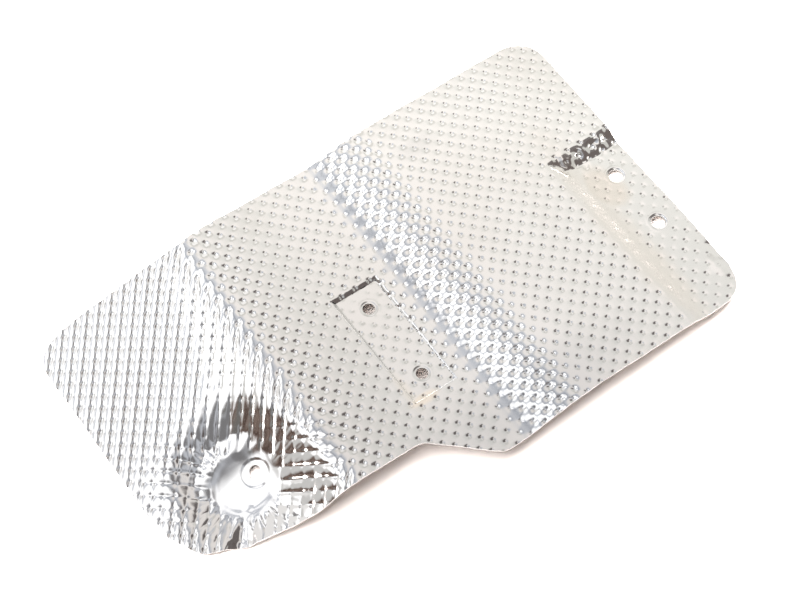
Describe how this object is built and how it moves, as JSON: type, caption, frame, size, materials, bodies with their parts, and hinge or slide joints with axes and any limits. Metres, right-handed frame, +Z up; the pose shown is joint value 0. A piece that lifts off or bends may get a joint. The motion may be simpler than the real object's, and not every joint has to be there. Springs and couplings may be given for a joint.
{
  "type": "gearbox heat shield",
  "caption": "Folded sheet of dimpled aluminium that shields a gearbox from heat, with a recessed centre land, an open end land and a round dish for its bolts.",
  "frame": {"origin": "centre of the bounding box at the table plane, the sheet lying as it rests", "axes": "+X along the sheet's long side from the dish end to the end land, +Y across it away from the notched side, +Z up out of the dimpled face"},
  "size_m": [0.2779, 0.168, 0.028],
  "materials": {
    "sheet": "bright embossed sheet, slightly wrinkled and smeared"
  },
  "bodies": {
    "root": {"heat_shield": "sheet"}
  },
  "joints": []
}
